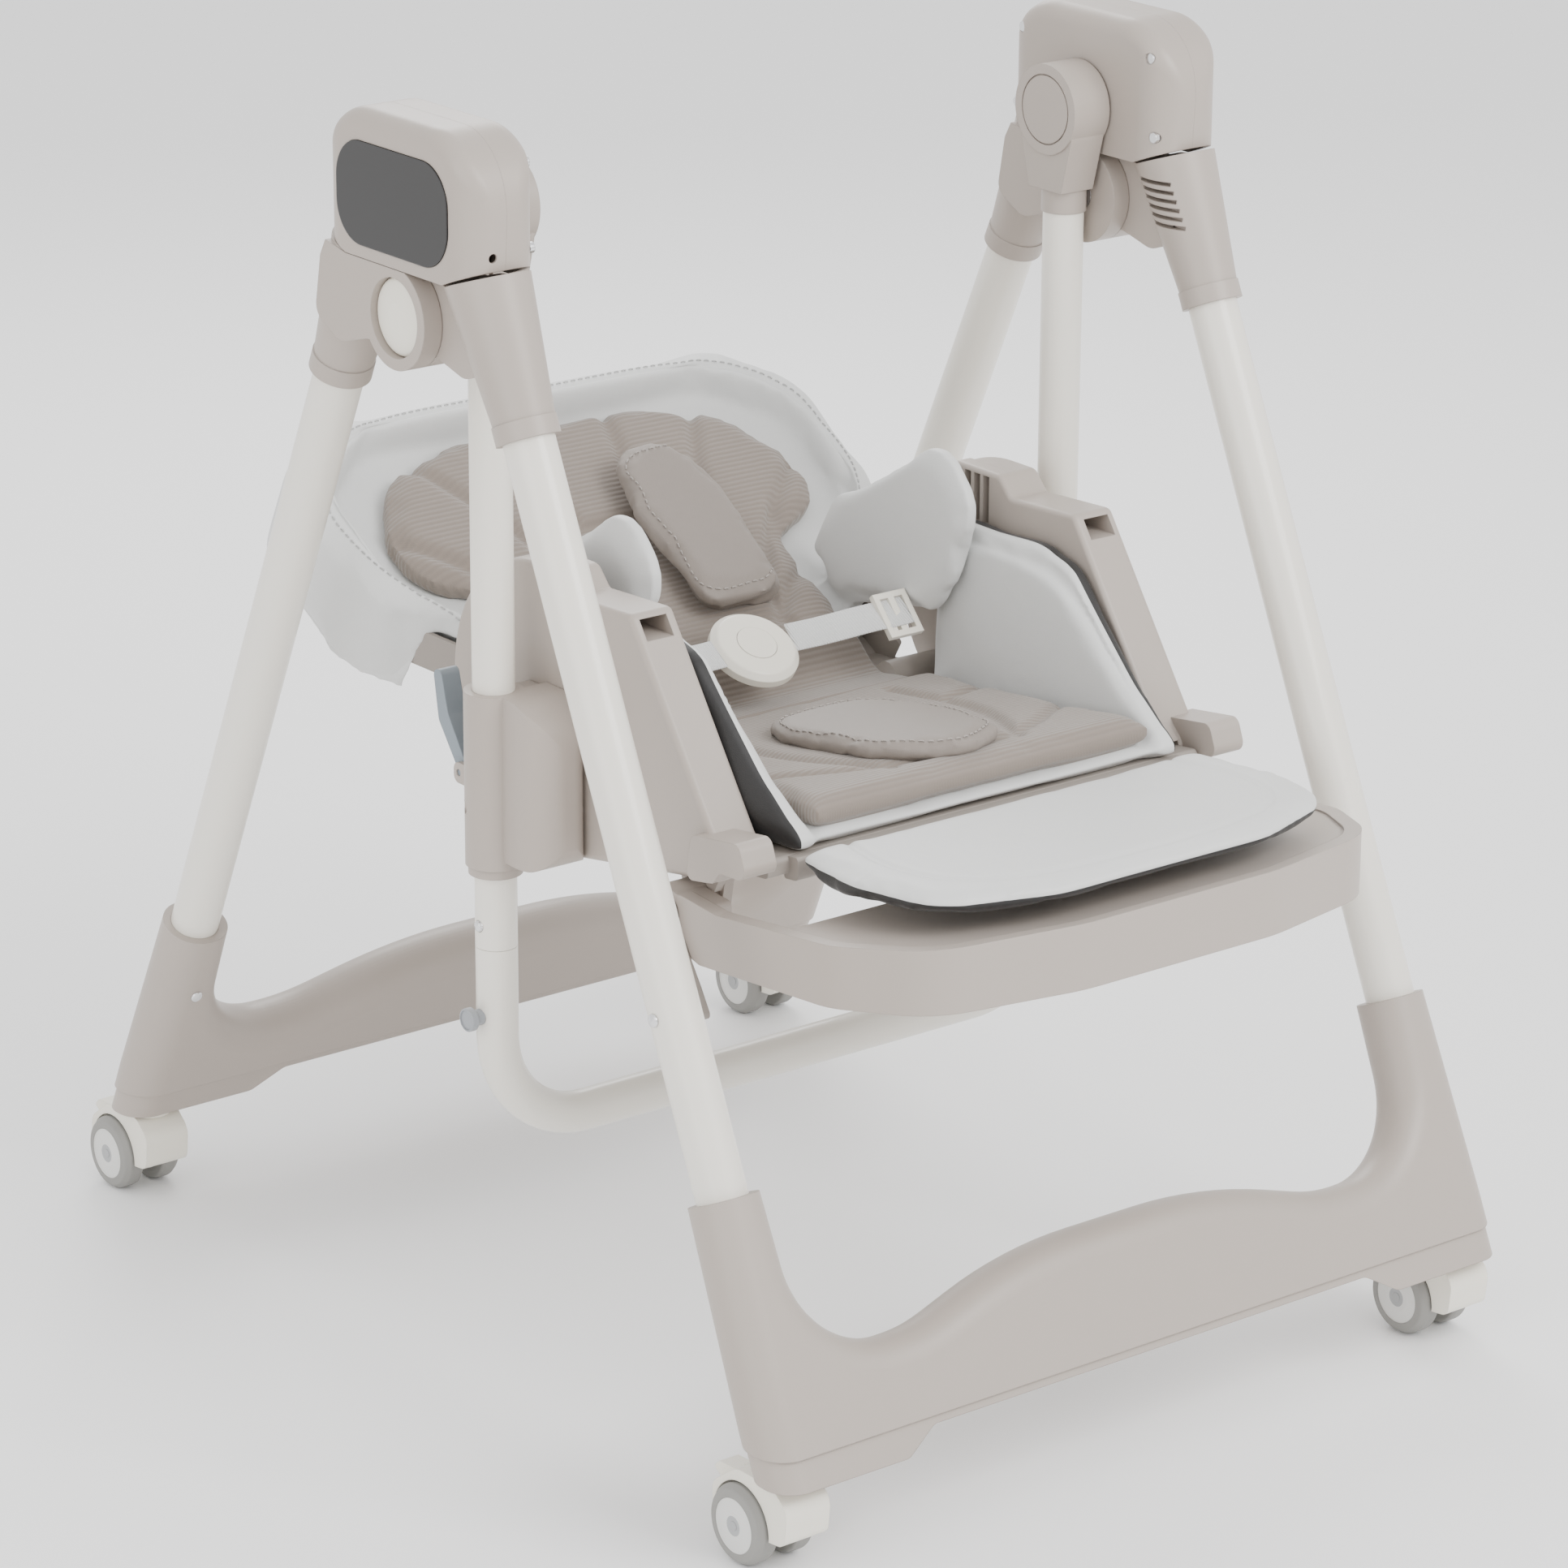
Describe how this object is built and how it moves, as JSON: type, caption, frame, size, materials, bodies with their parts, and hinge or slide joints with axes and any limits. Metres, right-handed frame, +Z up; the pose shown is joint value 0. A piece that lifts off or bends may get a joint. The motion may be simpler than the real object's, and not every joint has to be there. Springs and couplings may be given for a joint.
{
  "type": "swinging high chair",
  "caption": "Folding baby high chair whose padded, reclining seat hangs from two tubes and swings inside an A shaped frame on casters.",
  "frame": {"origin": "middle of the footprint, on the floor under the wheels", "axes": "+Z up, -Y the way the child looks, +X to the right seen from in front"},
  "size_m": [0.7049, 0.9499, 0.965],
  "materials": {
    "taupe_shell": "satin moulded plastic",
    "ivory_tube": "satin powder coat",
    "ivory_plastic": "satin moulded plastic",
    "chrome_steel": "polished",
    "display": "gloss",
    "lever_plastic": "satin moulded plastic",
    "pale_pad": "soft coated cloth",
    "taupe_fabric": "ribbed cloth",
    "taupe_pad": "soft coated cloth",
    "webbing": "woven strap",
    "wheel_rubber": "matte"
  },
  "bodies": {
    "rear_frame": {"rear_foot_beam": "taupe_shell", "rear_foot_base": "taupe_shell", "rear_legs": "ivory_tube", "rear_leg_screws": "chrome_steel", "left_rear_hub": "taupe_shell", "right_rear_hub": "taupe_shell", "left_head_outer": "taupe_shell", "left_head_inner": "taupe_shell", "right_head_outer": "taupe_shell", "right_head_inner": "taupe_shell", "head_screws": "chrome_steel", "display_panel": "display", "fold_pins": "chrome_steel"},
    "front_frame": {"front_foot_beam": "taupe_shell", "front_foot_base": "taupe_shell", "front_legs": "ivory_tube", "front_leg_screws": "chrome_steel", "left_front_hub": "taupe_shell", "right_front_hub": "taupe_shell"},
    "left_fold_push": {"left_fold_button": "ivory_plastic"},
    "right_fold_push": {"right_fold_button": "ivory_plastic"},
    "swing": {"left_swing_hub": "taupe_shell", "right_swing_hub": "taupe_shell", "swing_tubes": "ivory_tube", "lower_u_tube": "ivory_tube", "snap_buttons": "chrome_steel", "side_pegs": "lever_plastic"},
    "seat": {"left_sleeve": "taupe_shell", "right_sleeve": "taupe_shell", "left_side_panel": "taupe_shell", "right_side_panel": "taupe_shell", "seat_base": "taupe_shell", "seat_pad": "pale_pad", "seat_cushion": "taupe_fabric", "crotch_pad": "taupe_pad", "buckle": "ivory_plastic", "waist_straps": "webbing"},
    "left_squeeze": {"left_height_lever": "lever_plastic"},
    "right_squeeze": {"right_height_lever": "lever_plastic"},
    "buckle_push": {"buckle_button": "ivory_plastic"},
    "back": {"back_shell": "taupe_shell", "back_pad": "pale_pad", "back_cushion": "taupe_fabric", "shoulder_pads": "taupe_pad"},
    "back_grip": {"recline_handle": "lever_plastic"},
    "leg_rest": {"rest_hoop": "taupe_shell", "calf_pad": "pale_pad"},
    "rest_catch": {"rest_lever": "lever_plastic"},
    "front_left_swivel": {"front_left_caster": "ivory_plastic"},
    "front_left_roller": {"front_left_wheel": "wheel_rubber"},
    "front_left_stop": {"front_left_brake": "lever_plastic"},
    "front_right_swivel": {"front_right_caster": "ivory_plastic"},
    "front_right_roller": {"front_right_wheel": "wheel_rubber"},
    "front_right_stop": {"front_right_brake": "lever_plastic"},
    "rear_left_swivel": {"rear_left_caster": "ivory_plastic"},
    "rear_left_roller": {"rear_left_wheel": "wheel_rubber"},
    "rear_left_stop": {"rear_left_brake": "lever_plastic"},
    "rear_right_swivel": {"rear_right_caster": "ivory_plastic"},
    "rear_right_roller": {"rear_right_wheel": "wheel_rubber"},
    "rear_right_stop": {"rear_right_brake": "lever_plastic"}
  },
  "joints": [
    {"name": "frame_fold", "type": "hinge", "parent": "rear_frame", "child": "front_frame", "pos_m": [0, -0.0174, 0.822], "axis": [1, 0, 0], "range_deg": [0, 40]},
    {"name": "left_fold_press", "type": "slide", "parent": "front_frame", "child": "left_fold_push", "axis": [1, 0, 0], "range_m": [0, 0.0035], "stiffness_N_per_m": 120, "springref_m": -0.001},
    {"name": "right_fold_press", "type": "slide", "parent": "front_frame", "child": "right_fold_push", "axis": [-1, 0, 0], "range_m": [0, 0.0035], "stiffness_N_per_m": 120, "springref_m": -0.001},
    {"name": "swing_pivot", "type": "hinge", "parent": "rear_frame", "child": "swing", "pos_m": [0, -0.0174, 0.893], "axis": [1, 0, 0], "range_deg": [-12, 12]},
    {"name": "seat_height", "type": "slide", "parent": "swing", "child": "seat", "axis": [0, 0, 1], "range_m": [0, 0.2]},
    {"name": "left_height_squeeze", "type": "hinge", "parent": "seat", "child": "left_squeeze", "pos_m": [-0.27, 0.0106, 0.46], "axis": [1, 0, 0], "range_deg": [0, 8], "stiffness_Nm_per_rad": 0.2},
    {"name": "right_height_squeeze", "type": "hinge", "parent": "seat", "child": "right_squeeze", "pos_m": [0.27, 0.0106, 0.46], "axis": [1, 0, 0], "range_deg": [0, 8], "stiffness_Nm_per_rad": 0.2},
    {"name": "buckle_press", "type": "slide", "parent": "seat", "child": "buckle_push", "axis": [0, 0.515, -0.8572], "range_m": [0, 0.0025], "stiffness_N_per_m": 80, "springref_m": -0.002},
    {"name": "back_recline", "type": "hinge", "parent": "seat", "child": "back", "pos_m": [0, 0.0446, 0.44], "axis": [1, 0, 0], "range_deg": [0, 25]},
    {"name": "recline_squeeze", "type": "slide", "parent": "back", "child": "back_grip", "axis": [0, -0.5, 0.866], "range_m": [0, 0.0025], "stiffness_N_per_m": 150},
    {"name": "leg_rest_hinge", "type": "hinge", "parent": "seat", "child": "leg_rest", "pos_m": [0, -0.1874, 0.401], "axis": [1, 0, 0], "range_deg": [0, 50]},
    {"name": "rest_lever_hinge", "type": "hinge", "parent": "leg_rest", "child": "rest_catch", "pos_m": [-0.24, -0.1874, 0.401], "axis": [1, 0, 0], "range_deg": [0, 10], "stiffness_Nm_per_rad": 0.2},
    {"name": "front_left_swivel_turn", "type": "hinge", "parent": "front_frame", "child": "front_left_swivel", "pos_m": [-0.32, -0.4364, 0.073], "axis": [0, 0, 1], "continuous": true},
    {"name": "front_left_wheel_spin", "type": "hinge", "parent": "front_left_swivel", "child": "front_left_roller", "pos_m": [-0.32, -0.4084, 0.03], "axis": [1, 0, 0], "continuous": true},
    {"name": "front_left_brake_press", "type": "hinge", "parent": "front_left_swivel", "child": "front_left_stop", "pos_m": [-0.32, -0.3864, 0.055], "axis": [-1, 0, 0], "range_deg": [0, 8]},
    {"name": "front_right_swivel_turn", "type": "hinge", "parent": "front_frame", "child": "front_right_swivel", "pos_m": [0.32, -0.4364, 0.073], "axis": [0, 0, 1], "continuous": true},
    {"name": "front_right_wheel_spin", "type": "hinge", "parent": "front_right_swivel", "child": "front_right_roller", "pos_m": [0.32, -0.4084, 0.03], "axis": [1, 0, 0], "continuous": true},
    {"name": "front_right_brake_press", "type": "hinge", "parent": "front_right_swivel", "child": "front_right_stop", "pos_m": [0.32, -0.3864, 0.055], "axis": [-1, 0, 0], "range_deg": [0, 8]},
    {"name": "rear_left_swivel_turn", "type": "hinge", "parent": "rear_frame", "child": "rear_left_swivel", "pos_m": [-0.32, 0.4016, 0.073], "axis": [0, 0, 1], "continuous": true},
    {"name": "rear_left_wheel_spin", "type": "hinge", "parent": "rear_left_swivel", "child": "rear_left_roller", "pos_m": [-0.32, 0.4296, 0.03], "axis": [1, 0, 0], "continuous": true},
    {"name": "rear_left_brake_press", "type": "hinge", "parent": "rear_left_swivel", "child": "rear_left_stop", "pos_m": [-0.32, 0.4516, 0.055], "axis": [-1, 0, 0], "range_deg": [0, 8]},
    {"name": "rear_right_swivel_turn", "type": "hinge", "parent": "rear_frame", "child": "rear_right_swivel", "pos_m": [0.32, 0.4016, 0.073], "axis": [0, 0, 1], "continuous": true},
    {"name": "rear_right_wheel_spin", "type": "hinge", "parent": "rear_right_swivel", "child": "rear_right_roller", "pos_m": [0.32, 0.4296, 0.03], "axis": [1, 0, 0], "continuous": true},
    {"name": "rear_right_brake_press", "type": "hinge", "parent": "rear_right_swivel", "child": "rear_right_stop", "pos_m": [0.32, 0.4516, 0.055], "axis": [-1, 0, 0], "range_deg": [0, 8]}
  ]
}
